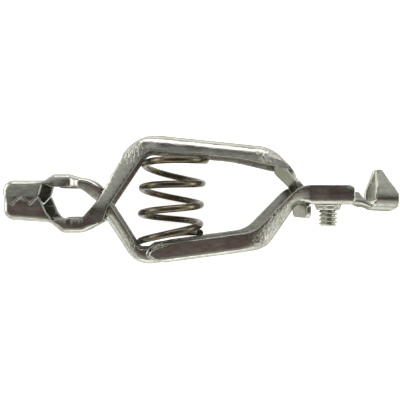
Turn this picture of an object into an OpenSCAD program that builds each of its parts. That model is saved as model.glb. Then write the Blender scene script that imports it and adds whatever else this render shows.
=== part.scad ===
// Spring-loaded test clip for a battery or cable terminal.
// Two pressed-steel channel arms cross behind the jaws and hook into each other at the tail.
// A coil spring between the handles holds the toothed jaws shut.
// The clip lies on its side: X runs from the jaws to the cable ears, Y across the handles
// and Z through the width of the clip. Z = 0 is the lowest point of the spring's coils.

/* [Sheet metal] */
// Thickness of the pressed sheet
sheet_t = 0.9; // [0.8:0.05:1]
// Width over the walls of the jaws, the handles and the tail
arm_w = 8.8; // [8.6:0.1:9.2]
// Gap at each side where one arm passes inside the other
side_play = 0.3; // [0.25:0.05:0.35]

/* [Jaws] */
// Distance between two teeth of one jaw
tooth_pitch = 2.9; // [2.7:0.1:3]
// Height of the teeth
tooth_h = 1.55; // [1.2:0.05:1.7]
// Gap between the closed jaws
jaw_gap = 0.3; // [0.2:0.05:0.4]

/* [Hinge] */
// Distance of the hook that the upper arm turns on from the middle of the length
hinge_x = 18.15; // [18:0.05:18.3]
// Width over the shoulders of the hook
hook_w = 8.4; // [8:0.1:8.6]
// Lowest point of the hook
hook_y = -3.45; // [-3.8:0.05:-3]

/* [Spring] */
// Outer diameter of the coils
spring_od = 12.6; // [12:0.1:12.8]
// Diameter of the spring wire
wire_d = 1.3; // [1.1:0.1:1.4]
// Number of turns
spring_turns = 4; // [3:1:5]
// Place of the spring's axis along the handles, at its lower end
spring_x = -7.55; // [-7.7:0.05:-7.4]
// How far the coils lean towards the tail at the upper end
spring_lean = 1.1; // [0:0.1:1.2]

/* [Terminal screw] */
// Thread diameter over the crests
thread_d = 3.5; // [3.4:0.05:3.5]
// Distance between two threads
thread_pitch = 0.79; // [0.7:0.01:0.85]
// Diameter of the pan head
head_d = 5.8; // [5.5:0.1:6.2]
// Height of the pan head
head_h = 1.9; // [1.7:0.1:2]
// Place of the screw along the tail
screw_x = 23.55; // [23.4:0.05:23.8]
// Lowest point of the screw
screw_y = -5.15; // [-5.6:0.05:-4.6]

/* [Cable ears] */
// Radius of the cradle that is crimped round the cable
cradle_r = 1.7; // [1.6:0.05:1.8]
// End of the cradle at the tail
cradle_x0 = 32.3; // [32.2:0.1:32.6]
// End of the cradle at the cable
cradle_x1 = 36.9; // [36.6:0.1:36.9]
// Height of the cradle's axis above the tail floor
cradle_y = 0.5; // [0.4:0.05:0.6]

/* [Hidden] */
$fn = 48;

half_w = arm_w / 2;
inner_w = half_w - sheet_t;
narrow_w = inner_w - side_play;
rest_h = spring_od / 2;
far = 100;

// where the narrow stretch of the lower arm begins and ends
narrow_x0 = -24.4;
narrow_x1 = -11.9;
jog_l = 0.9;

// the slot in the tail floor that the hook hangs through
slot_x0 = 17.3;
slot_x1 = 19;
hook_play = 0.25;

thread_play = 0.05;

steel = [0.72, 0.73, 0.71];
spring_steel = [0.36, 0.33, 0.27];

// --- outlines: each corner is [x, y, radius] ---

function unit(v) = v / norm(v);

// the points of one rounded corner at p between its neighbours a and b
function corner(a, p, b, steps = 6) =
    p[2] == 0 ? [[p[0], p[1]]] :
    let (q = [p[0], p[1]])
    let (u = unit([a[0], a[1]] - q))
    let (v = unit([b[0], b[1]] - q))
    let (half = acos(u * v) / 2)
    let (c = q + unit(u + v) * p[2] / sin(half))
    let (s = q + u * p[2] / tan(half) - c)
    let (e = q + v * p[2] / tan(half) - c)
    let (turn = atan2(s[0] * e[1] - s[1] * e[0], s * e))
    [for (i = [0:steps]) let (t = turn * i / steps)
        c + [s[0] * cos(t) - s[1] * sin(t), s[0] * sin(t) + s[1] * cos(t)]];

function closed(pts) = [for (i = [0:len(pts) - 1])
    each corner(pts[(i + len(pts) - 1) % len(pts)], pts[i], pts[(i + 1) % len(pts)])];

function open_line(pts) = concat(
    [[pts[0][0], pts[0][1]]],
    [for (i = [1:len(pts) - 2]) each corner(pts[i - 1], pts[i], pts[i + 1])],
    [[pts[len(pts) - 1][0], pts[len(pts) - 1][1]]]);

// a band of thickness t on the left-hand side of a line of points
function left_of(line, i) =
    let (d = unit(line[min(i + 1, len(line) - 1)] - line[max(i - 1, 0)])) [-d[1], d[0]];
function band(line, t) = concat(line,
    [for (i = [len(line) - 1:-1:0]) line[i] + left_of(line, i) * t]);

// teeth of one jaw, from the nose backwards; lift moves them off the other jaw's
tooth_x = -36.5;
function teeth(lift) = [for (i = [0:4])
    [tooth_x + i * tooth_pitch / 2, tooth_h * (i % 2 == 0 ? 0.5 : -0.5) + lift, 0]];

function backwards(list) = [for (i = [len(list) - 1:-1:0]) list[i]];

// lower arm: upper jaw and ring, slant, lower handle, tail
lower_nose = [-36.9, 1, 0];
lower_top = [[-36.9, 3.45, 1.8], [-29.9, 3.45, 1.2], [-28.4, 4.6, 1.3], [-25.5, 4.6, 1.2],
    [-24, 4.1, 1.3], [-21.3, 4.05, 3]];
lower_bend = [[-13.3, -9, 0.6], [-11.7, -9, 0.5], [-10.7, -8.25, 0.6]];
lower_handle_end = [[7.9, -5.85, 6], [16.6, 2.8, 4.5]];
lower_slant = [[15.9, -sheet_t, 2], [10.1, -8.7, 6.5], [-13.4, -11.75, 4.5], [-19.4, -3.5, 3]];
lower_bottom = concat(lower_slant, [[-21, -0.2, 0]]);
ring_top_edge = [[-23.9, 2.2, 3], [-28.8, 2.3, 1.2], [-30.1, 3.1, 0.4]];
tail_top = 2.8;
tail_end = 27.3;
lower_outline = closed(concat(
    [lower_nose], lower_top, lower_bend, lower_handle_end,
    [[tail_end - 1, tail_top, 1.6], [tail_end, 0, 0], [tail_end, -sheet_t, 0], [slot_x0, -sheet_t, 0]],
    lower_bottom, ring_top_edge,
    backwards(teeth(jaw_gap / 2))));

// upper arm: lower jaw and ring, slant, upper handle
upper_jaw = [[-36.7, -3.45, 1.6], [-28.9, -4, 1.2], [-26.8, -5.85, 1.3], [-23.1, -5.85, 1.5]];
upper_bottom = concat(upper_jaw, [[-19.6, -3.8, 0.4], [-18.85, -1.5, 0]]);
upper_inside = [[-11.9, 9, 2], [5, 7.75, 30], [13.6, 5.85, 0]];
upper_top = [[11.75, 9.55, 5.5], [-13.7, 11.97, 7.5]];
upper_outline = closed(concat(
    [[-36.7, -1, 0]], teeth(-jaw_gap / 2),
    [[-29.5, -2.2, 0.5], [-28.4, -3.7, 0.6], [-27.3, -3.25, 0.6], [-23.3, -3.2, 1.2], [-20.6, -0.1, 0]],
    backwards(upper_top),
    [[14.3, 6.5, 0]],
    backwards(upper_inside),
    backwards(upper_bottom)));

// --- building blocks ---

module placed() {
    translate([0, 0, rest_h])
        children();
}

// a plate of the given outline between two heights
module plate(points, z0, z1) {
    translate([0, 0, z0])
        linear_extrude(height = z1 - z0)
            polygon(points);
}

// both walls of a channel whose outer faces stand at +w and -w
module walls(points, w, thickness = sheet_t) {
    plate(points, w - thickness, w);
    plate(points, -w, thickness - w);
}

// the part of the children between two places along X
module between(x0, x1) {
    intersection() {
        children();
        translate([x0, -far / 2, -far / 2])
            cube([x1 - x0, far, far]);
    }
}

// --- lower arm ---

// the webs of the lower arm at half width w
module lower_webs(w) {
    jaw_line = open_line(concat([lower_nose], lower_top, [[-20.2, 2.27, 0]]));
    slant_line = open_line(concat([[-20.55, -1.2, 0]], backwards(lower_slant),
        [[slot_x0, -sheet_t + 0.02, 0]]));
    plate(band(jaw_line, -sheet_t), -w, w);
    plate(band(slant_line, sheet_t), -w, w);
}

module lower_channel(w) {
    walls(lower_outline, w);
    lower_webs(w);
}

// the floor of the tail, the neck and the low flanges that join them
module tail_floor() {
    translate([slot_x1, -sheet_t, -half_w])
        cube([tail_end - slot_x1, sheet_t, arm_w]);
    neck_line = open_line([[tail_end - 1, -sheet_t, 0], [29.3, -sheet_t, 2],
        [cradle_x0 + 0.3, cradle_y - cradle_r - sheet_t, 0]]);
    neck_w = 2.4;
    flange_w = 2.9;
    flange_top = 1.7;
    flange_x = tail_end - sheet_t;
    plate(band(neck_line, sheet_t), -neck_w, neck_w);
    flange = closed([[flange_x, -sheet_t, 0], [29.4, -sheet_t, 0], [31, -1.3, 0], [30.6, -0.2, 0],
        [29.6, 0.5, 0.5], [28.9, 1.6, 0.5], [flange_x, flange_top, 0]]);
    walls(flange, flange_w);
    for (side = [-1, 1])
        translate([flange_x, -sheet_t, side > 0 ? flange_w - sheet_t : -half_w])
            cube([sheet_t, sheet_t + flange_top, half_w - flange_w + sheet_t]);
}

// tapped collar drawn down out of the tail floor
module collar() {
    collar_h = 1.1;
    collar_wall = 0.35;
    embed = 0.2;
    hole_r = thread_d / 2;
    translate([screw_x, embed - sheet_t, 0])
        rotate([90, 0, 0])
            cylinder(h = collar_h + embed, r1 = hole_r + 2 * collar_wall, r2 = hole_r + collar_wall);
}

// cradle and two ears that are crimped round the cable
module cable_ears() {
    outer_r = cradle_r + sheet_t;
    lean = 1.9;
    ear_y0 = 1.2;
    ear_y1 = 6.2;
    lean_top = ear_y1 - cradle_y + 0.3;
    side = closed([[cradle_x0, -2.4, 0], [cradle_x0, 1.7, 0], [33.2, ear_y1, 0.4], [34.4, ear_y1, 0.4],
        [cradle_x1, 1.7, 0.8], [cradle_x1, -1.2, 1], [35.9, -2.4, 0]]);
    intersection() {
        plate(side, -outer_r, outer_r);
        translate([0, cradle_y, 0])
            rotate([0, 90, 0])
                difference() {
                    union() {
                        cylinder(h = far, r = outer_r);
                        for (s = [-1, 1])
                            linear_extrude(height = far)
                                polygon([[s * cradle_r, 0], [s * outer_r, 0], [s * outer_r, ear_y0],
                                    [s * (outer_r - lean), lean_top], [s * (cradle_r - lean), lean_top],
                                    [s * cradle_r, ear_y0]]);
                    }
                    translate([0, 0, -1])
                        cylinder(h = far + 2, r = cradle_r);
                    translate([-cradle_r, 0, -1])
                        cube([2 * cradle_r, ear_y0, far + 2]);
                    translate([0, 0, -1])
                        linear_extrude(height = far + 2)
                            polygon([[-cradle_r, ear_y0 - 0.01], [cradle_r, ear_y0 - 0.01],
                                [cradle_r - lean, far / 10], [lean - cradle_r, far / 10]]);
                }
    }
}

module lower_arm() {
    color(steel)
        placed()
            difference() {
                union() {
                    between(-far, narrow_x0)
                        lower_channel(half_w);
                    between(narrow_x0 - jog_l, narrow_x1 + jog_l)
                        lower_channel(narrow_w);
                    between(narrow_x1, tail_end)
                        lower_channel(half_w);
                    for (x = [narrow_x0 - jog_l, narrow_x1])
                        between(x, x + jog_l)
                            walls(lower_outline, half_w, half_w - narrow_w + sheet_t);
                    tail_floor();
                    collar();
                    cable_ears();
                }
                translate([screw_x, 1, 0])
                    rotate([90, 0, 0])
                        cylinder(h = 4, r = thread_d / 2 + thread_play);
                translate([slot_x0, -sheet_t - 1, -inner_w])
                    cube([slot_x1 - slot_x0, sheet_t + 1, 2 * inner_w]);
            }
}

// --- upper arm ---

module upper_webs() {
    jaw_line = open_line(concat([[-36.7, -0.2, 0]], upper_jaw, [[-20.5, -4.33, 0]]));
    plate(band(jaw_line, sheet_t), -half_w, half_w);
    hook_face = hinge_x + sheet_t / 2;
    handle_line = open_line(concat([[-16.15, 7.56, 0]], backwards(upper_top),
        [[hook_face, 1.5, 2], [hook_face, hook_y, 0]]));
    plate(band(handle_line, -sheet_t), -half_w, half_w);
}

// what is cut from each side of the tab so that it drops between the walls of the tail
module tab_trim() {
    top_y = 5.8;
    neck_y = 2.9;
    shoulder_y = -sheet_t - hook_play;
    // the cut reaches along X from the front of the tab to behind the hook
    cut_x0 = 12;
    cut_x1 = 30;
    hook_half = hook_w / 2;
    outside = half_w + 1;
    for (s = [-1, 1])
        translate([cut_x1, 0, 0])
            rotate([0, -90, 0])
                linear_extrude(height = cut_x1 - cut_x0)
                    polygon([[s * outside, top_y], [s * half_w, top_y], [s * narrow_w, neck_y],
                        [s * narrow_w, shoulder_y], [s * hook_half, shoulder_y],
                        [s * hook_half, hook_y - 1], [s * outside, hook_y - 1]]);
}

module upper_arm() {
    color(steel)
        placed()
            difference() {
                union() {
                    walls(upper_outline, half_w);
                    upper_webs();
                }
                tab_trim();
            }
}

// --- spring ---

coil_r = (spring_od - wire_d) / 2;
wire_r = wire_d / 2;

// the end coils follow the slopes of the two handles: height of the wire's centre
// at the jaw side and at the tail side of the coil
low_end = [-7.75, -6.3];
high_end = [8.8, 7.6];
flat_turns = 0.5;
// how far the middle coils tip, up at the jaw side and down at the tail side
coil_tip = 0.5;
function across(ends, side) = ends[0] + (ends[1] - ends[0]) * (side + 1) / 2;

function coil(turns) =
    let (a = 90 + 360 * turns)
    let (rise = max(0, turns - flat_turns) / (spring_turns - flat_turns))
    let (lean = spring_lean * pow(turns / spring_turns, 3))
    let (y0 = across(low_end, sin(a)))
    let (y1 = across(high_end, sin(a)))
    let (tip = coil_tip * sin(a) * sin(180 * rise))
    [spring_x + lean + coil_r * sin(a), y0 + (y1 - y0) * rise - tip, coil_r * cos(a)];

module swept_wire(path, r, sides) {
    last = len(path) - 1;
    rings = [for (i = [0:last])
        let (d = unit(path[min(i + 1, last)] - path[max(i - 1, 0)]))
        let (out = unit(cross(d, [0, 1, 0])))
        let (up = cross(out, d))
        for (k = [0:sides - 1])
            path[i] + r * (cos(360 * k / sides) * out + sin(360 * k / sides) * up)];
    faces = concat(
        [for (i = [0:last - 1]) for (k = [0:sides - 1])
            [i * sides + k, i * sides + (k + 1) % sides,
                (i + 1) * sides + (k + 1) % sides, (i + 1) * sides + k]],
        [[for (k = [sides - 1:-1:0]) k]],
        [[for (k = [0:sides - 1]) last * sides + k]]);
    polyhedron(points = rings, faces = faces, convexity = 8);
}

module spring() {
    steps_per_turn = 28;
    sides = 10;
    color(spring_steel)
        placed()
            swept_wire([for (i = [0:steps_per_turn * spring_turns]) coil(i / steps_per_turn)], wire_r, sides);
}

// --- terminal screw ---

module terminal_screw() {
    core_r = thread_d / 2 - 0.6 * thread_pitch;
    crest_r = thread_d / 2;
    shank_l = -screw_y;
    // the threads that show start below the collar
    plain_l = 2.1;
    threads = floor((shank_l - plain_l) / thread_pitch);
    slot_w = 0.9;
    slot_deep = 1;
    head_seat = 0.05;
    color(steel)
        placed()
            translate([screw_x, head_seat, 0])
                rotate([90, 0, 0])
                    difference() {
                        union() {
                            rotate_extrude()
                                polygon(concat([[0, 0], [crest_r, 0]],
                                    [for (i = [0:threads - 1]) let (y = plain_l + i * thread_pitch)
                                        each [[crest_r, y], [core_r, y + thread_pitch / 2]]],
                                    [[crest_r, plain_l + threads * thread_pitch], [core_r, shank_l],
                                        [0, shank_l]]));
                            rotate_extrude()
                                polygon([[0, -head_h], [head_d / 4, 0.1 - head_h],
                                    [head_d / 2 - 0.4, 0.45 - head_h], [head_d / 2, 1.1 - head_h],
                                    [head_d / 2, 0], [0, 0]]);
                        }
                        translate([-far / 2, -slot_w / 2, -head_h - slot_deep])
                            cube([far, slot_w, 2 * slot_deep]);
                    }
}

lower_arm();
upper_arm();
spring();
terminal_screw();
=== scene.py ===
import math

import bmesh
import bpy
from mathutils import Matrix, Vector


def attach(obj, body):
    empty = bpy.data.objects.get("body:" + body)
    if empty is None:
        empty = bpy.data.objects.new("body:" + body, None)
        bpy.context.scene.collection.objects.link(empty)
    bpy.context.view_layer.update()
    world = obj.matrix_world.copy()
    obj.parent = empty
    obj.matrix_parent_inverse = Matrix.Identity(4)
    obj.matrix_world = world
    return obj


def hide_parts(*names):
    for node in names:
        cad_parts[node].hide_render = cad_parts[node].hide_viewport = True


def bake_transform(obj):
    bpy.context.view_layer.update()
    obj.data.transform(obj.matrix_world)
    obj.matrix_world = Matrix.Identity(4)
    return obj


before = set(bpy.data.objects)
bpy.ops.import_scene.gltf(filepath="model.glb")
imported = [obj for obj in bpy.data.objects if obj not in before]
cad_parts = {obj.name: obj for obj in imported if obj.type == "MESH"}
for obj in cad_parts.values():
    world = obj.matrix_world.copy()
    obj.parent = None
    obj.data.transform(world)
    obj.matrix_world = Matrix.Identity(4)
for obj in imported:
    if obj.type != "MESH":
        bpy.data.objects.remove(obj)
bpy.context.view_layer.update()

# The pieces are drawn in millimetres in the frame's directions: +X from the jaws to the cable ears, +Y from
# the lower to the upper handle, and Z = 0 on the clip's middle plane. finish_mesh() lifts and scales them.

MM = 0.001
LIFT = 6.3           # the clip lies on its coils, so its middle plane stands at half their diameter
SHEET = 0.9          # thickness of the sheet
HALF_W = 4.4         # half the width over the walls
NOSE_FOLD = 0.95     # depth of the fold at the open end of a web
NARROW = 1.2         # how far the lower arm steps in on each side to pass inside the upper arm
TAIL_STEP = 1.5      # how far the tail steps in to become the neck


# ---------------------------------------------------------------- outlines

CORNER_STEP = math.radians(8)


def smooth(t):
    """0 below t = 0, 1 above t = 1, and an S between them."""
    t = max(0.0, min(1.0, t))
    return t * t * (3 - 2 * t)


def between(x, start, rise, end, fall):
    """1 from start + rise to end, and 0 before start and after end + fall."""
    return smooth((x - start) / rise) * (1 - smooth((x - end) / fall))


def corner(a, p, b):
    """Points of the rounded corner p = (x, y, radius) between its neighbours a and b."""
    q = Vector(p[:2])
    if p[2] == 0:
        return [q]
    u = (Vector(a[:2]) - q).normalized()
    v = (Vector(b[:2]) - q).normalized()
    half = math.acos(max(-1.0, min(1.0, u.dot(v)))) / 2
    c = q + (u + v).normalized() * (p[2] / math.sin(half))
    s = q + u * (p[2] / math.tan(half)) - c
    e = q + v * (p[2] / math.tan(half)) - c
    turn = math.atan2(s.x * e.y - s.y * e.x, s.dot(e))
    n = max(2, math.ceil(abs(turn) / CORNER_STEP))
    return [c + Matrix.Rotation(turn * i / n, 2) @ s for i in range(n + 1)]


def dense(points, ring, step=0.8):
    """The same line with its long straight runs divided."""
    out = []
    last = len(points) if ring else len(points) - 1
    for i in range(last):
        a, b = points[i], points[(i + 1) % len(points)]
        n = max(1, math.ceil((b - a).length / step))
        out += [a.lerp(b, k / n) for k in range(n)]
    if not ring:
        out.append(points[-1])
    return out


def closed(corners):
    """The points of a closed outline of (x, y, radius) corners."""
    n = len(corners)
    pts = []
    for i in range(n):
        pts += corner(corners[i - 1], corners[i], corners[(i + 1) % n])
    return dense(pts, True)


def open_line(corners, step):
    """The points of an open line of (x, y, radius) corners."""
    pts = [Vector(corners[0][:2])]
    for i in range(1, len(corners) - 1):
        pts += corner(corners[i - 1], corners[i], corners[i + 1])
    pts.append(Vector(corners[-1][:2]))
    return dense(pts, False, step)


def area(points):
    """Signed area, positive where the points run anticlockwise."""
    return sum(a.x * b.y - b.x * a.y for a, b in zip(points, points[1:] + points[:1])) / 2


TOOTH_X = -36.5      # where the row of teeth starts
TOOTH = 1.45         # from the tip of a tooth to the gap beside it
TOOTH_H = 0.775      # half the height of a tooth
TOOTH_GAP = 0.15     # how far each arm's teeth stand back from the line where the jaws meet


def teeth(lift):
    """The corners of a row of teeth, lifted from the line where the jaws meet."""
    return [(TOOTH_X + i * TOOTH, (TOOTH_H if i % 2 == 0 else -TOOTH_H) + lift, 0) for i in range(1, 5)]


# outlines of the two arms seen from the side: corners as (x, y, radius)
LOWER = ([(-36.9, 1, 0), (-36.9, 3.45, 1.8), (-29.9, 3.45, 1.4), (-28.4, 4.6, 1.4), (-25.5, 4.6, 1.3),
          (-24, 4.1, 1.3), (-21.5, 3.95, 4), (-13.3, -9, 0.6), (-11.7, -9, 0.5), (-10.7, -8.25, 0.6),
          (7.9, -5.85, 6), (16.6, 2.8, 4.5), (26.5, 2.8, 1.6), (27.4, 1.7, 0.4), (28.9, 1.6, 0.5),
          (29.6, 0.5, 0.5), (30.6, -0.2, 0.4), (31.1, -1.5, 0), (29.3, -0.9, 3), (19, -0.9, 0),
          (17.3, -0.9, 0), (16.2, -0.9, 1.7), (10.6, -9.15, 6.5), (-13.8, -12.1, 4.8), (-19.4, -3.5, 3),
          (-21, -0.2, 0.2), (-23.9, 2.2, 3), (-28.8, 2.3, 1.2), (-30.1, 3.1, 0.4)]
         + teeth(TOOTH_GAP)[::-1])
UPPER = ([(-36.7, 0.55, 0)] + teeth(-TOOTH_GAP)
         + [(-29.5, -2.2, 0.5), (-28.4, -3.7, 0.6), (-27.3, -3.25, 0.6), (-23.3, -3.2, 1.2),
            (-20.6, -0.1, 0.3), (-14.2, 12.4, 7.8), (12, 9.95, 5.6), (14.3, 6.5, 0), (13.6, 5.85, 0.2),
            (5, 7.75, 30), (-11.9, 9, 2), (-18.85, -1.5, 0.6), (-19.6, -3.8, 0.4), (-23.1, -5.85, 1.5),
            (-26.8, -5.85, 1.3), (-28.9, -4, 1.4), (-36.7, -3.45, 1.6)])
# each web: the points of the outline where it starts and ends, and how far each end slopes back if it is open
LOWER_WEBS = [((-36.9, 1), (-20.2, 2.27), 0.88, None), ((31.1, -1.5), (-20.55, -1.2), None, None)]
UPPER_WEBS = [((-16.15, 7.56), (14.3, 6.5), None, None), ((-20.5, -4.33), (-36.7, 0.55), None, -0.8)]
# the slot in the tail floor that the hook hangs through
SLOT_X = (17.3, 19)
SLOT_HALF_W = 3.35

# depth and width of the folds between webs and walls
JAW_FOLD = (1.0, 0.95)
HANDLE_FOLD = (2.1, 1.35)


def lower_fold(p):
    """The lower arm's fold near p: broad on the slants, tight along the handle and the tail."""
    if p.x < -21 and p.y > 0:
        return JAW_FOLD
    left_slant = 1 - smooth((p.x + 14) / 2.5)
    right_slant = smooth((p.x - 6) / 3) - smooth((p.x - 15) / 3)
    broad = left_slant + right_slant
    return 1.05 + 0.85 * broad, 1.0 + 0.35 * broad


def upper_fold(p):
    """The upper arm's fold near p."""
    return JAW_FOLD if p.y < 0 else HANDLE_FOLD


# the web that runs down from the upper handle, seen from the side, and the hook it ends in, seen from the
# tail: half its outline as (height, half width, radius)
HOOK_X = 18.6
TAB_LINE = [(14.3, 6.5, 0), (HOOK_X, 1.5, 2), (HOOK_X, -0.05, 0)]
TAB_HALF_W = 3.2
HOOK = [(-0.05, TAB_HALF_W, 0), (-1.1, TAB_HALF_W, 0.15), (-1.15, 4.2, 0.3), (-3.45, 4.1, 1.3), (-3.45, 0, 0)]


def tab_width(y):
    """Half the tab's width: it narrows from the full width of the handle to the hook's neck."""
    if y >= 5.8:
        return HALF_W
    return TAB_HALF_W + (HALF_W - TAB_HALF_W) * smooth((y - 2.9) / 2.9)


# ---------------------------------------------------------------- sheet metal

FOLD_STEPS = 9       # faces round a fold
FLAT_STEPS = 8       # faces across the flat of a web
FOLD_SHARE = 0.8     # a fold takes at most this part of the wall beside it
SLOPE_REACH = 2.4    # how far from its open end a web starts to slope back
HIDE_REACH = 1.45 * NOSE_FOLD    # how near to an open end the walls' own points are left out


def nearest(points, p):
    """Index of the point nearest to p."""
    return min(range(len(points)), key=lambda i: (points[i] - Vector(p)).length)


def to_segment(p, a, b):
    """Distance from p to the segment from a to b."""
    d = b - a
    t = max(0.0, min(1.0, (p - a).dot(d) / max(d.length_squared, 1e-12)))
    return (p - a - d * t).length


def quads(bm, rows, ring=False):
    """Fills the faces between rows of points; ring closes each row on itself."""
    for a, b in zip(rows, rows[1:]):
        n = len(a)
        for k in range(n if ring else n - 1):
            m = (k + 1) % n
            bm.faces.new((a[k], a[m], b[m], b[k]))


def web_span(points, start, end):
    """Indices of the outline's points from the one nearest start to the one nearest end."""
    n = len(points)
    first = nearest(points, start)
    return [(first + k) % n for k in range((nearest(points, end) - first) % n + 1)]


def fold_depths(line, sizes, free, slopes):
    """How deep the fold is at each point of a web: no deeper than the wall beside it is high."""
    depths = [min(depth, FOLD_SHARE * min(to_segment(p, *seg) for seg in free))
              for p, (depth, _) in zip(line, sizes)]
    for _ in range(4):
        middle = [sum(t) / 3 for t in zip(depths, depths[1:], depths[2:])]
        depths = [depths[0]] + middle + [depths[-1]]
    for k, slope in zip((0, -1), slopes):
        depths[k] = 0.0 if slope is None else NOSE_FOLD
    return depths


def fold_side(line, k, slopes, inward):
    """The way in from the web's outer face at point k, sloped back near an open end."""
    d = (line[min(k + 1, len(line) - 1)] - line[max(k - 1, 0)]).normalized()
    side = Vector((-d.y, d.x)) * inward
    for end, slope, way in ((line[0], slopes[0], -1), (line[-1], slopes[1], 1)):
        if slope is not None:
            side += d * (way * slope) * smooth(1 - (line[k] - end).length / SLOPE_REACH)
    return side


def fold_row(bm, p, side, depth, width, first, last):
    """Points across a web at p, from the edge of one wall to the other: a fold, the flat and a fold."""
    def at(angle, way):
        q = p + side * (depth * (1 - math.sin(angle)))
        return bm.verts.new((q.x, q.y, way * (HALF_W - width * (1 - math.cos(angle)))))

    angles = [math.pi / 2 * k / FOLD_STEPS for k in range(1, FOLD_STEPS + 1)]
    flat = HALF_W - width
    row = [first] + [at(t, 1) for t in angles]
    row += [bm.verts.new((p.x, p.y, flat * (1 - 2 * k / FLAT_STEPS))) for k in range(1, FLAT_STEPS)]
    return row + [at(t, -1) for t in reversed(angles)] + [last]


def channel(bm, corners, webs, fold):
    """The outer skin of a folded sheet: two flat walls, and webs folded over along parts of their edge."""
    pts = closed(corners)
    n = len(pts)
    inward = 1 if area(pts) > 0 else -1
    spans = [(web_span(pts, start, end), (slope0, slope1)) for start, end, slope0, slope1 in webs]
    folded = {i for span, _ in spans for i in span[1:-1]}
    open_ends = {span[k] for span, slopes in spans for k in (0, -1) if slopes[k] is not None}
    # points of the walls that would stand out of the open end of a fold
    hidden = {i for e in open_ends for i in range(n)
              if i not in folded and i != e and (pts[i] - pts[e]).length < HIDE_REACH}
    free = [(pts[i], pts[(i + 1) % n]) for i in range(n)
            if not {i, (i + 1) % n} & (folded | open_ends | hidden)]
    edge = {}
    bands = []
    for span, slopes in spans:
        line = [pts[i] for i in span]
        sizes = [fold(p) for p in line]
        depths = fold_depths(line, sizes, free, slopes)
        band = []
        for k, i in enumerate(span):
            full_depth, full_width = sizes[k]
            # a shallow fold is narrower too, but less so
            width = min(full_width, full_width * (depths[k] / full_depth) ** 0.8)
            side = fold_side(line, k, slopes, inward)
            edge[i] = line[k] + side * depths[k]
            band.append((i, line[k], side, depths[k], width))
        bands.append(band)
    wall = {}
    for way in (1, -1):
        wall[way] = {i: bm.verts.new((*edge.get(i, pts[i]), way * HALF_W))
                     for i in range(n) if i not in hidden}
        bm.faces.new([wall[way][i] for i in sorted(wall[way])])
    for band in bands:
        quads(bm, [fold_row(bm, p, side, depth, width, wall[1][i], wall[-1][i])
                   for i, p, side, depth, width in band])


def strip(bm, line, half_width):
    """A flat web with free edges, from the end of a folded one."""
    rows = [[bm.verts.new((p.x, p.y, half_width(p) * (1 - 2 * k / FLAT_STEPS)))
             for k in range(FLAT_STEPS + 1)] for p in line]
    quads(bm, rows)
    return rows


def places(start, gap, count):
    """Values for cut_along: count of them, from start on."""
    return [start + gap * k for k in range(count)]


def cut_along(bm, axis, values):
    """Cuts every face where it crosses these values along the axis, so that the walls can be bent there."""
    normal = Vector((axis == 0, axis == 1, 0))
    for value in values:
        bmesh.ops.bisect_plane(bm, geom=bm.verts[:] + bm.edges[:] + bm.faces[:], dist=1e-3,
                               plane_co=normal * value, plane_no=normal)


def to_mesh(bm, name):
    """Turns the bmesh into a mesh, and frees it."""
    mesh = bpy.data.meshes.new(name)
    bm.to_mesh(mesh)
    bm.free()
    return mesh


def add_object(name, data):
    """A new object in the scene."""
    obj = bpy.data.objects.new(name, data)
    bpy.context.scene.collection.objects.link(obj)
    return obj


def evaluated(obj):
    """The object's mesh with its modifiers applied."""
    bpy.context.view_layer.update()
    return bpy.data.meshes.new_from_object(obj.evaluated_get(bpy.context.evaluated_depsgraph_get()))


def in_one_plane(e):
    """Whether an edge lies between two triangles of the same flat face."""
    return (len(e.link_faces) == 2 and all(len(f.verts) == 3 for f in e.link_faces)
            and e.link_faces[0].normal.dot(e.link_faces[1].normal) > 0.9999)


def round_edges(bm, edges, radius):
    """Rounds these edges, also where two roundings nearly meet."""
    bmesh.ops.bevel(bm, geom=edges, offset=radius, offset_type="OFFSET", segments=2, profile=0.5,
                    affect="EDGES", clamp_overlap=False)


def thicken(bm, name, edge_round):
    """Gives the skin its thickness, inwards, and rounds the cut edges by edge_round(point)."""
    bmesh.ops.remove_doubles(bm, verts=bm.verts[:], dist=2e-3)
    bmesh.ops.dissolve_degenerate(bm, edges=bm.edges[:], dist=1e-3)
    bmesh.ops.recalc_face_normals(bm, faces=bm.faces[:])
    # the highest large face is a wall's, and its normal has to point out
    top = max(bm.faces, key=lambda f: f.calc_center_median().z + 0.01 * f.calc_area())
    if top.normal.z < 0:
        bmesh.ops.reverse_faces(bm, faces=bm.faces[:])
    bmesh.ops.triangulate(bm, faces=[f for f in bm.faces if len(f.verts) > 4], ngon_method="EAR_CLIP")
    bmesh.ops.beautify_fill(bm, faces=[f for f in bm.faces if len(f.verts) == 3],
                            edges=[e for e in bm.edges if in_one_plane(e)])
    skin = to_mesh(bm, name)
    # two empty slots, so that the new rim can be told from the skin
    skin.materials.append(None)
    skin.materials.append(None)
    obj = add_object(name, skin)
    mod = obj.modifiers.new("thick", "SOLIDIFY")
    mod.thickness = SHEET
    mod.offset = -1
    mod.use_even_offset = True
    mod.use_quality_normals = True
    mod.material_offset_rim = 1
    solid = evaluated(obj)
    bpy.data.objects.remove(obj)
    bm = bmesh.new()
    bm.from_mesh(solid)
    sizes = {}
    for e in bm.edges:
        if len({f.material_index for f in e.link_faces}) == 2:
            sizes.setdefault(edge_round((e.verts[0].co + e.verts[1].co) / 2), []).append(e)
    for size, edges in sizes.items():
        round_edges(bm, [e for e in edges if e.is_valid], size)
    for f in bm.faces:
        f.material_index = 0
    return bm


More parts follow.
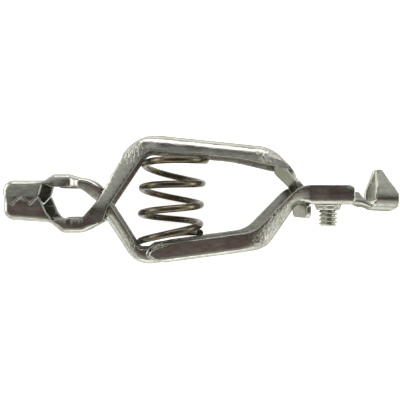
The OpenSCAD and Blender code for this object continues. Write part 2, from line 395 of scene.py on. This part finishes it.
def finish_mesh(bm, name, material):
    """Turns the piece into an object in metres, lying on the floor, with smooth shading and its material."""
    to_frame = Matrix.Translation((0, 0, LIFT * MM)) @ Matrix.Scale(MM, 4)
    bmesh.ops.transform(bm, matrix=to_frame, verts=bm.verts[:])
    for f in bm.faces:
        f.smooth = True
    mesh = to_mesh(bm, name)
    mesh.materials.append(material)
    obj = add_object(name, mesh)
    mod = obj.modifiers.new("shade", "WEIGHTED_NORMAL")
    mod.mode = "FACE_AREA"
    mod.weight = 60
    return obj


def around(sides):
    """The angles of a circle's points."""
    return [2 * math.pi * k / sides for k in range(sides)]


def lathe(bm, profile, centre, sides=64):
    """Turns (radius, height) points round the vertical through centre; a radius of 0 closes the form."""
    rows = [[bm.verts.new((centre[0] + r * math.cos(t), y, centre[1] + r * math.sin(t)))
             for t in around(sides)] for r, y in profile]
    quads(bm, rows, ring=True)
    bmesh.ops.remove_doubles(bm, verts=[v for row in rows for v in row], dist=1e-4)


# ---------------------------------------------------------------- materials

def grey(level):
    return (level, level, level)


class Nodes:
    """Makes the nodes of one shader tree, each linked to what it reads."""

    def __init__(self, tree, coordinates):
        self.tree = tree
        self.coords = self.new("ShaderNodeTexCoord").outputs[coordinates]

    def new(self, kind):
        return self.tree.nodes.new(kind)

    def put(self, socket, value):
        """Links an output to the socket, or sets the socket's own number or colour."""
        if isinstance(value, bpy.types.NodeSocket):
            self.tree.links.new(value, socket)
        elif isinstance(value, tuple):
            socket.default_value = (*value, 1)
        else:
            socket.default_value = value

    def noise(self, scale, detail, rough, stretch=(1, 1, 1), distortion=0.0):
        mapping = self.new("ShaderNodeMapping")
        mapping.inputs["Scale"].default_value = stretch
        self.put(mapping.inputs["Vector"], self.coords)
        node = self.new("ShaderNodeTexNoise")
        self.put(node.inputs["Scale"], scale)
        self.put(node.inputs["Detail"], detail)
        self.put(node.inputs["Roughness"], rough)
        self.put(node.inputs["Distortion"], distortion)
        self.put(node.inputs["Vector"], mapping.outputs["Vector"])
        return node.outputs["Fac"]

    def ramp(self, value, stops):
        node = self.new("ShaderNodeValToRGB")
        elements = node.color_ramp.elements
        while len(elements) < len(stops):
            elements.new(0.5)
        for element, (position, colour) in zip(elements, stops):
            element.position = position
            element.color = (*colour, 1)
        self.put(node.inputs["Fac"], value)
        return node.outputs["Color"]

    def mask(self, value, low, high, top=1):
        """Black up to low, and grey of the level top from high on."""
        return self.ramp(value, [(low, grey(0)), (high, grey(top))])

    def mix(self, factor, a, b, kind="MIX"):
        node = self.new("ShaderNodeMix")
        node.data_type = "RGBA"
        node.blend_type = kind
        # a Mix node has its factor first, and its colours at 6 and 7
        for index, value in ((0, factor), (6, a), (7, b)):
            self.put(node.inputs[index], value)
        return node.outputs[2]

    def maths(self, operation, a, b, clamp=True):
        node = self.new("ShaderNodeMath")
        node.operation = operation
        node.use_clamp = clamp
        self.put(node.inputs[0], a)
        self.put(node.inputs[1], b)
        return node.outputs[0]

    def bump(self, height, strength, distance, normal=None):
        node = self.new("ShaderNodeBump")
        self.put(node.inputs["Strength"], strength)
        self.put(node.inputs["Distance"], distance)
        self.put(node.inputs["Height"], height)
        if normal is not None:
            self.put(node.inputs["Normal"], normal)
        return node.outputs["Normal"]

    def near(self, centre, reach):
        """1 round a place (x, y) just inside the near walls, falling to 0 at this distance from it."""
        node = self.new("ShaderNodeVectorMath")
        node.operation = "DISTANCE"
        self.put(node.inputs[0], self.coords)
        node.inputs[1].default_value = tuple(v * MM for v in (*centre, LIFT + HALF_W - 0.5))
        part = self.maths("MULTIPLY", node.outputs["Value"], 1 / (reach * MM))
        return self.ramp(part, [(0.15, grey(1)), (1.0, grey(0))])


def material(name, colour, metallic, roughness, paint, glance=(1, 1, 1)):
    """A material whose detail paint(nodes, shader) adds. glance tints what it reflects at low angles.
    colour and roughness are the plain values behind that detail."""
    mat = bpy.data.materials.new(name)
    mat.use_nodes = True
    shader = mat.node_tree.nodes["Principled BSDF"]
    shader.inputs["Base Color"].default_value = (*colour, 1)
    shader.inputs["Metallic"].default_value = metallic
    shader.inputs["Roughness"].default_value = roughness
    shader.inputs["Specular Tint"].default_value = (*glance, 1)
    paint(Nodes(mat.node_tree, "Object"), shader)
    return mat


# where the press has wrinkled the sheet: a place and how far the wrinkles reach from it
BENDS = [((-14.3, 8.8), 3.4), ((10, 7.5), 3.2), ((12.6, -3.6), 4.2), ((8.8, -7.6), 3.0), ((-15.2, -8.2), 3.0)]


def plating(tint, dark, light, rough, bends=()):
    """Plated steel: clouds, grain and dark pits, edges rubbed bright, and wrinkles at the bends."""
    def paint(nodes, shader):
        cloud = nodes.noise(160, 3, 0.5)
        grain = nodes.mask(nodes.noise(2600, 5, 0.6, stretch=(0.35, 1, 1)), 0.35, 0.75, 0.55)
        pits = nodes.mask(nodes.noise(3800, 2, 0.5), 0.66, 0.74)
        rubbed = nodes.mask(nodes.new("ShaderNodeNewGeometry").outputs["Pointiness"], 0.52, 0.62)
        base = nodes.ramp(cloud, [(0.3, tint), (0.7, light)])
        base = nodes.mix(grain, base, dark)
        base = nodes.mix(nodes.maths("MULTIPLY", pits, 0.55), base, dark)
        base = nodes.mix(nodes.maths("MULTIPLY", rubbed, 0.5), base, light)
        nodes.put(shader.inputs["Base Color"], base)
        streaks = nodes.noise(520, 4, 0.6, stretch=(0.4, 1, 1))
        low, high = rough
        nodes.put(shader.inputs["Roughness"], nodes.ramp(streaks, [(0.25, grey(low)), (0.75, grey(high))]))
        normal = nodes.bump(nodes.noise(420, 2, 0.4), 0.22, 0.00010)
        normal = nodes.bump(nodes.noise(1500, 4, 0.6, stretch=(0.5, 1, 1)), 0.22, 0.00004, normal)
        normal = nodes.bump(pits, 0.3, 0.00002, normal)
        if bends:
            bent = nodes.near(*bends[0])
            for bend in bends[1:]:
                bent = nodes.maths("ADD", bent, nodes.near(*bend))
            creases = nodes.mask(nodes.noise(2000, 3, 0.6, stretch=(1, 0.5, 1), distortion=0.4), 0.42, 0.60)
            normal = nodes.bump(nodes.maths("MULTIPLY", creases, bent), 1.0, 0.00006, normal)
        nodes.put(shader.inputs["Normal"], normal)

    return paint


def wire_paint(nodes, shader):
    """Oiled spring wire: brown to bronze, with dark specks."""
    base = nodes.ramp(nodes.noise(260, 4, 0.6), [(0.3, (0.07, 0.062, 0.045)), (0.5, (0.12, 0.104, 0.074)),
                                                 (0.72, (0.21, 0.17, 0.11))])
    specks = nodes.mask(nodes.noise(2400, 3, 0.5), 0.55, 0.7)
    base = nodes.mix(nodes.maths("MULTIPLY", specks, 0.6), base, (0.06, 0.055, 0.045))
    nodes.put(shader.inputs["Base Color"], base)
    smears = nodes.noise(700, 4, 0.6)
    nodes.put(shader.inputs["Roughness"], nodes.ramp(smears, [(0.25, grey(0.17)), (0.75, grey(0.34))]))
    nodes.put(shader.inputs["Normal"], nodes.bump(nodes.noise(900, 4, 0.6), 0.25, 0.00005))


PLATE = material("plated_steel", (0.6, 0.6, 0.56), 1.0, 0.24,
                 plating(tint=(0.49, 0.495, 0.45), dark=(0.25, 0.235, 0.205), light=(0.58, 0.585, 0.54),
                         rough=(0.15, 0.31), bends=BENDS),
                 glance=(0.20, 0.21, 0.16))
SCREW = material("plated_screw", (0.6, 0.58, 0.5), 1.0, 0.25,
                 plating(tint=(0.60, 0.60, 0.53), dark=(0.30, 0.29, 0.24), light=(0.74, 0.73, 0.66),
                         rough=(0.12, 0.26)),
                 glance=(0.25, 0.25, 0.19))
WIRE = material("spring_wire", (0.22, 0.19, 0.13), 1.0, 0.35, wire_paint)


# ---------------------------------------------------------------- lower arm

# the inner edges of the slants, from foot to head
LEFT_SLANT = ((-21.3, 4.05), (-13.3, -9))
RIGHT_SLANT = ((7.9, -5.85), (16.6, 2.8))
UPPER_SLANT = ((-18.85, -1.5), (-11.9, 9))

JOG_X = -25.6                      # where the jaws' walls start to step in
JOG_RUN = 1.7
TAIL_X, TAIL_RUN = 26.9, 0.4       # where the tail's walls step in to the neck
JAW_LEAN = 0.07                    # how much the walls of the jaws lean in for each mm from the middle
WALL_LEAN = 0.05                   # and those of the lower handle and the tail
HANDLE_LEAN = 0.2                  # and those of the upper handle


def slant(x, y, foot, head, slope):
    """How far a wall drops away outwards from its inner edge, on the slant between foot and head."""
    along = Vector(head) - Vector(foot)
    p = Vector((x, y)) - Vector(foot)
    t = p.dot(along.normalized()) / along.length
    out = abs(along.x * p.y - along.y * p.x) / along.length
    return slope * out * out / (out + 0.7) * between(t, -0.1, 0.3, 0.72, 0.4)


def wall_shift(x, y):
    """How far the lower arm's walls stand in from their full width."""
    # the step back out to the handle ends along a curve on it, and straight above it
    pocket = -12.1 + (y + 9.8) ** 2 if y < -7 else -11
    shift = NARROW * between(x, JOG_X, JOG_RUN, pocket, 0.9) + TAIL_STEP * smooth((x - TAIL_X) / TAIL_RUN)
    # the leaning walls of the upper jaw, the handle and the tail
    shift += JAW_LEAN * max(0.0, y) * (1 - smooth((x + 29) / 4))
    shift += WALL_LEAN * max(0.0, -5 - y) * between(x, -14, 3, 8, 4)
    shift += WALL_LEAN * max(0.0, 2.8 - y) * between(x, 15, 3, 26, 1)
    if x < -11 and y < 4:
        shift += slant(x, y, *LEFT_SLANT, 0.34)
    if 4 < x < 18 and y < x - 13.5:
        shift += slant(x, y, *RIGHT_SLANT, 0.36)
    if x > 27:
        # the flanges of the neck lean in
        shift += 0.3 * max(0.0, y + SHEET) * smooth((x - 27) / 0.6)
    return shift


def upper_shift(x, y):
    """How far the upper arm's walls stand in from their full width."""
    shift = JAW_LEAN * max(0.0, -y) * (1 - smooth((x + 29) / 4))
    shift += HANDLE_LEAN * max(0.0, y - 6) * smooth((x + 13) / 4)
    # only on the web's side of the line through foot and head
    if x < -8 and y > 1.511 * x + 26.98:
        shift += slant(x, y, *UPPER_SLANT, 0.30)
    return shift


def step_in(bm, shift):
    """Moves the walls in by shift(x, y) and squeezes the web between them."""
    core = 2.0
    for v in bm.verts:
        d = shift(v.co.x, v.co.y)
        side = 1 if v.co.z >= 0 else -1
        z = abs(v.co.z)
        v.co.z = side * (z - d if z >= core else z * (core - d) / core)


CRADLE_R = 2.6                     # the cradle's outer radius
CRADLE_Y = 0.5                     # height of its axis
CRADLE_X = (32.3, 36.9)            # its two ends along the cable
QUARTER = math.pi / 2 * CRADLE_R   # length of the skin from its bottom to where an ear starts
EAR_Y = 6.2                        # height of the ears' tips
EAR_LEAN = 1.9                     # how far the tips lean in
EAR_ROLL = 0.4                     # the part of an ear that is curved
EAR_TIP = 0.45                     # height of the rounding at the tips
NECK_X = 31.1                      # where the neck leaves the tail floor
NECK_Y = -1.5
NECK_HALF_W = 2.9


def ear_section(s):
    """The cradle's outer skin seen along the cable: height and side at distance s from its bottom."""
    far = abs(s)
    if far <= QUARTER:
        a = far / CRADLE_R
        return CRADLE_Y - CRADLE_R * math.cos(a), math.copysign(CRADLE_R * math.sin(a), s)
    t = (far - QUARTER) / (EAR_Y - CRADLE_Y)
    bent = t * t / (2 * EAR_ROLL) if t < EAR_ROLL else t - EAR_ROLL / 2
    return far - QUARTER + CRADLE_Y, math.copysign(CRADLE_R - EAR_LEAN * bent / (1 - EAR_ROLL / 2), s)


def ear_sides(y):
    """Where the cradle begins and ends along the cable at height y."""
    left, right = CRADLE_X
    left += max(0.0, y - 1.7) / 4.5 * 0.9
    if y < -1.2:
        right -= (-1.2 - y) ** 2
    elif y >= 1.4:
        up = (y - 1.4) / 4.8
        right -= 2.5 * up + 0.12 * math.sin(math.pi * smooth(up))
    return left, right


def mirrored(values):
    """The values, which start at zero, with their negatives before them."""
    return [-v for v in reversed(values[1:])] + values


def cable_end(bm):
    """The skin of the cradle with its ears, and of the neck that carries it."""
    # the neck meets the cradle up to this distance from its bottom, on either side
    join = 0.86 * QUARTER
    total = QUARTER + EAR_Y - CRADLE_Y
    below = [join * k / 7 for k in range(8)]
    above = [join + (total - join) * k / 26 for k in range(1, 27)]
    columns = 12
    grid = []
    for s in mirrored(below + above):
        y, z = ear_section(s)
        left, right = ear_sides(y)
        # the tips are rounded: their sides pull in
        tip = max(0.0, (y - (EAR_Y - EAR_TIP)) / EAR_TIP)
        pull = 0.42 * (1 - math.sqrt(max(0.0, 1 - tip * tip)))
        left, right = left + pull, right - pull
        sag = 0.05 * (1 - smooth(y / 3))
        row = []
        for k in range(columns + 1):
            x = left + (right - left) * k / columns
            row.append(bm.verts.new((x, y - sag * max(0.0, x - CRADLE_X[0]), z)))
        grid.append(row)
    quads(bm, grid)
    # rows from the tail floor to the cradle
    steps = 10
    rows = []
    for k in range(steps + 1):
        t = k / steps
        f = smooth(t)
        row = []
        for s in mirrored(below):
            part = abs(s / join)
            y, z = ear_section(s)
            waist = 0.35 * math.sin(math.pi * min(1, t * 1.1)) * part ** 2
            dip = 0.1 * math.sin(math.pi * t) * (1 - part)
            start = NECK_HALF_W * s / join
            z = start + (z - start) * f
            row.append(bm.verts.new((NECK_X + (CRADLE_X[0] - NECK_X) * t, NECK_Y + (y - NECK_Y) * f - dip,
                                     z - math.copysign(waist, z))))
        rows.append(row)
    quads(bm, rows)


SCREW_X = 23.55
# the tapped collar drawn down out of the tail floor: half its section as (radius, height)
COLLAR = [(2.85, -0.88), (2.66, -0.93), (2.52, -1.03), (2.45, -1.2), (2.4, -1.4), (2.3, -1.7), (2.18, -1.9),
          (2.05, -1.99), (1.9, -2.0), (1.82, -1.93), (1.78, -1.8), (1.78, -1.0)]


def make_lower_arm():
    bm = bmesh.new()
    channel(bm, LOWER, LOWER_WEBS, lower_fold)
    slot = []
    for f in bm.faces:
        c = f.calc_center_median()
        if SLOT_X[0] < c.x < SLOT_X[1] and abs(c.z) < SLOT_HALF_W and c.y < -0.5:
            slot.append(f)
    bmesh.ops.delete(bm, context="FACES", geom=slot)
    bm = thicken(bm, "lower_skin", lambda p: 0.1)
    cut_along(bm, 0, places(JOG_X, 0.2, 10) + places(-23, 0.6, 18) + places(-12.3, 0.2, 18)
              + places(6, 0.6, 18) + places(TAIL_X, TAIL_RUN / 6, 7))
    cut_along(bm, 1, places(-12, 0.25, 20) + places(-6.6, 0.6, 15))
    step_in(bm, wall_shift)
    ends = bmesh.new()
    cable_end(ends)
    ends = thicken(ends, "ear_skin", lambda p: 0.26 if p.y > 1.5 else 0.1)
    bm.from_mesh(to_mesh(ends, "ears"))
    lathe(bm, COLLAR, (SCREW_X, 0.0))
    bmesh.ops.recalc_face_normals(bm, faces=bm.faces[:])
    return finish_mesh(bm, "lower_arm_shell", PLATE)


# ---------------------------------------------------------------- upper arm

def upper_round(p):
    """Radius of the upper arm's cut edges: larger along the outer side of the crossing."""
    return 0.3 if -21 < p.x < -16.4 and p.y > 1.75 * p.x + 34.5 else 0.1


def make_upper_arm():
    bm = bmesh.new()
    channel(bm, UPPER, UPPER_WEBS, upper_fold)
    rows = strip(bm, open_line(TAB_LINE, 0.4), lambda p: tab_width(p.y))
    half = open_line(HOOK, 0.5)[1:]
    first = [bm.verts.new((HOOK_X, p.x, p.y)) for p in half]
    second = [bm.verts.new((HOOK_X, p.x, -p.y)) for p in reversed(half[:-1])]
    bm.faces.new(rows[-1][::-1] + first + second)
    bm = thicken(bm, "upper_skin", upper_round)
    cut_along(bm, 0, places(-30, 0.6, 34))
    cut_along(bm, 1, places(-2, 0.6, 24))
    step_in(bm, upper_shift)
    bmesh.ops.recalc_face_normals(bm, faces=bm.faces[:])
    return finish_mesh(bm, "upper_arm_shell", PLATE)


# ---------------------------------------------------------------- spring

COIL_R = 5.65
WIRE_R = 0.65
TURNS = 4
AXIS_X = -7.55
LEAN = 1.1                         # how far the top of the coil leans towards the tail
LOW_END = (-7.75, -6.3)            # height of the wire at the lower handle, on the jaws' and the tail's side
HIGH_END = (8.8, 7.6)              # and at the upper handle
COIL_TILT = 0.5                    # how far the free turns tilt


def coil(turns):
    """The middle of the wire after this many turns; the first half turn lies along the lower handle."""
    a = math.radians(90 + 360 * turns)
    rise = max(0.0, turns - 0.5) / (TURNS - 0.5)
    side = (math.sin(a) + 1) / 2
    y0 = LOW_END[0] + (LOW_END[1] - LOW_END[0]) * side
    y1 = HIGH_END[0] + (HIGH_END[1] - HIGH_END[0]) * side
    tilt = COIL_TILT * math.sin(a) * math.sin(math.pi * rise)
    return Vector((AXIS_X + LEAN * (turns / TURNS) ** 3 + COIL_R * math.sin(a), y0 + (y1 - y0) * rise - tilt,
                   COIL_R * math.cos(a)))


def tube(bm, path, radius, sides, bevel):
    """A round wire along path, with closed ends a little smaller than the wire."""
    last = len(path) - 1
    ways = [(path[min(i + 1, last)] - path[max(i - 1, 0)]).normalized() for i in range(last + 1)]
    rings = [(path[0] - ways[0] * 0.02, ways[0], radius - bevel)]
    rings += [(p, d, radius) for p, d in zip(path, ways)]
    rings.append((path[-1] + ways[-1] * 0.02, ways[-1], radius - bevel))
    rows = []
    for p, d, r in rings:
        out = d.cross(Vector((0, 1, 0))).normalized()
        up = out.cross(d)
        rows.append([bm.verts.new(p + r * (math.cos(t) * out + math.sin(t) * up)) for t in around(sides)])
    quads(bm, rows, ring=True)
    for row in (rows[0], rows[-1]):
        bm.faces.new(row)


def make_spring():
    bm = bmesh.new()
    steps = 56 * TURNS
    tube(bm, [coil(TURNS * i / steps) for i in range(steps + 1)], WIRE_R, 18, 0.1)
    bmesh.ops.recalc_face_normals(bm, faces=bm.faces[:])
    return finish_mesh(bm, "spring_coil", WIRE)


# ---------------------------------------------------------------- screw

THREAD_R = 1.75
THREAD_DEPTH = 0.44
PITCH = 0.79
SCREW_TIP = -5.15
SCREW_SIDES = 48
CHAMFER = 0.34                     # length of the chamfer at the tip
# the pan head: half its section as (radius, height)
HEAD = [(0.0, 0.03), (2.75, 0.03), (2.86, 0.1), (2.9, 0.22), (2.9, 0.75), (2.82, 1.1), (2.6, 1.42),
        (2.25, 1.66), (1.8, 1.81), (1.2, 1.9), (0.6, 1.93), (0.0, 1.94)]
HEAD_SLOT = (8, 1.3, 0.85)         # the box that cuts the head's slot
HEAD_SLOT_Y = 1.75


def thread_radius(turn, y):
    """The thread's radius at height y, after this part of a turn."""
    phase = (y / PITCH - turn) % 1.0
    v = abs(phase - 0.5) * 2
    cut = max(0.0, min(1.0, (v - 0.22) / 0.66))
    return THREAD_R - THREAD_DEPTH * (cut * 0.85 + smooth(cut) * 0.15)


def screw_head():
    """The mesh of the pan head, with its slot cut."""
    head = bmesh.new()
    lathe(head, HEAD, (SCREW_X, 0.0), 72)
    bmesh.ops.recalc_face_normals(head, faces=head.faces[:])
    cutter = bmesh.new()
    place = Matrix.Translation((SCREW_X, HEAD_SLOT_Y, 0)) @ Matrix.Diagonal((*HEAD_SLOT, 1))
    bmesh.ops.create_cube(cutter, size=1, matrix=place)
    head_obj = add_object("head", to_mesh(head, "head"))
    slot_obj = add_object("slot", to_mesh(cutter, "slot"))
    mod = head_obj.modifiers.new("slot", "BOOLEAN")
    mod.operation = "DIFFERENCE"
    mod.object = slot_obj
    mod.solver = "EXACT"
    cut = evaluated(head_obj)
    for obj in (head_obj, slot_obj):
        bpy.data.objects.remove(obj)
    return cut


def make_screw():
    bm = bmesh.new()
    step = PITCH / 14
    rows = []
    for j in range(math.ceil(-SCREW_TIP / step) + 1):
        y = max(-j * step, SCREW_TIP)
        largest = THREAD_R - max(0.0, CHAMFER - (y - SCREW_TIP)) * 0.9
        row = []
        for k, t in enumerate(around(SCREW_SIDES)):
            r = min(thread_radius(k / SCREW_SIDES, y), largest)
            row.append(bm.verts.new((r * math.cos(t) + SCREW_X, y, r * math.sin(t))))
        rows.append(row)
    quads(bm, rows, ring=True)
    bm.faces.new(rows[-1])
    bm.from_mesh(screw_head())
    bmesh.ops.recalc_face_normals(bm, faces=bm.faces[:])
    # the edges of the head's slot
    round_edges(bm, [e for e in bm.edges if len(e.link_faces) == 2 and e.calc_face_angle(0) > 0.9
                     and min(v.co.y for v in e.verts) > 0.9], 0.07)
    return finish_mesh(bm, "terminal_screw_body", SCREW)


# ---------------------------------------------------------------- pieces on their bodies

shells = [
    (make_lower_arm(), "lower_arm", "lower_arm", "lower_arm_steel"),
    (make_upper_arm(), "upper_arm", "upper_arm", "upper_arm_steel"),
    (make_screw(), "terminal_screw", "terminal_screw", "screw_steel"),
]
for obj, body, node, slot in shells:
    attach(obj, body)
    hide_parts(node)

spring = make_spring()
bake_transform(spring)
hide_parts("spring")


# ---------------------------------------------------------------- floor, light, camera

FLOOR_SIZE = 3.0
FLOOR_STEPS = 24


def paper_paint(nodes, shader):
    """White paper, lit a little from itself so that it stays as pale as the photo's background."""
    tone = nodes.ramp(nodes.noise(6, 2, 0.5), [(0.3, grey(0.93)), (0.7, grey(0.95))])
    nodes.put(shader.inputs["Base Color"], tone)
    shader.inputs["Emission Color"].default_value = (1, 1, 1, 1)
    shader.inputs["Emission Strength"].default_value = 0.85


def make_floor():
    bm = bmesh.new()
    marks = [FLOOR_SIZE * (i / FLOOR_STEPS - 0.5) for i in range(FLOOR_STEPS + 1)]
    quads(bm, [[bm.verts.new((x, y, 0)) for x in marks] for y in marks])
    mesh = to_mesh(bm, "studio_floor")
    mesh.materials.append(material("floor_paper", (0.94, 0.94, 0.94), 0.0, 0.9, paper_paint))
    add_object("studio_floor", mesh)


def make_world():
    """A light tent, open above: the dark room over it is brownish to one side and grey-green to the other."""
    world = bpy.data.worlds.new("studio")
    bpy.context.scene.world = world
    world.use_nodes = True
    nodes = Nodes(world.node_tree, "Generated")
    split = nodes.new("ShaderNodeSeparateXYZ")
    nodes.put(split.inputs[0], nodes.coords)
    x, y, z = split.outputs
    across_x = nodes.maths("MULTIPLY", nodes.maths("ABSOLUTE", x, 0.0, False), 0.25, False)
    height = nodes.maths("SUBTRACT", z, across_x, False)
    tent = nodes.ramp(height, [(0.0, (0.28, 0.28, 0.25)), (0.16, (0.40, 0.41, 0.36)),
                               (0.33, (0.88, 0.89, 0.85)), (0.50, (0.38, 0.39, 0.36)), (0.70, (0, 0, 0))])
    across_y = nodes.maths("ADD", nodes.maths("MULTIPLY", y, 0.7, False), 0.5, False)
    room = nodes.ramp(across_y, [(0.0, (0.30, 0.30, 0.27)), (0.185, (0.42, 0.42, 0.38)),
                                 (0.325, (0.18, 0.13, 0.12)), (0.43, (0.11, 0.055, 0.052)),
                                 (0.50, (0.03, 0.025, 0.035)), (0.57, (0.19, 0.20, 0.18)),
                                 (0.71, (0.50, 0.52, 0.48)), (0.80, (0.46, 0.47, 0.44)),
                                 (0.90, (0.14, 0.11, 0.11)), (1.0, (0.03, 0.015, 0.02))])
    back = world.node_tree.nodes["Background"]
    nodes.put(back.inputs["Color"], nodes.mix(1.0, tent, room, "ADD"))
    back.inputs["Strength"].default_value = 1.0


def softbox(name, place, size, power):
    """A rectangular light that faces the clip."""
    light = bpy.data.lights.new(name, "AREA")
    light.shape = "RECTANGLE"
    light.size, light.size_y = size
    light.energy = power
    obj = add_object(name, light)
    obj.location = place
    obj.rotation_euler = (-Vector(place)).to_track_quat("-Z", "Y").to_euler()


def make_camera():
    """The photo's view, from above and close by. Two directions of it were solved from the photo."""
    data = bpy.data.cameras.new("photo_view")
    data.sensor_width = 36
    data.lens = 35.1
    data.clip_start = 0.005
    camera = add_object("photo_view", data)
    backward = Vector((-0.0894, -0.0076, 0.9960)).normalized()
    right = Vector((0.9960, -0.0007, 0.0894))
    right = (right - backward * right.dot(backward)).normalized()
    turn = Matrix((right, backward.cross(right), backward)).transposed().to_4x4()
    camera.matrix_world = Matrix.Translation((-0.0086, -0.00057, 0.0810)) @ turn
    bpy.context.scene.camera = camera
    bpy.context.scene.view_settings.view_transform = "Standard"


make_floor()
make_world()
softbox("softbox_left", (-0.34, 0.08, 0.13), (0.30, 0.12), 0.35)
softbox("softbox_right", (0.36, 0.02, 0.12), (0.30, 0.12), 0.35)
softbox("softbox_top", (0.0, 0.36, 0.17), (0.40, 0.12), 0.5)
softbox("softbox_low", (0.02, -0.36, 0.15), (0.40, 0.12), 0.25)
make_camera()
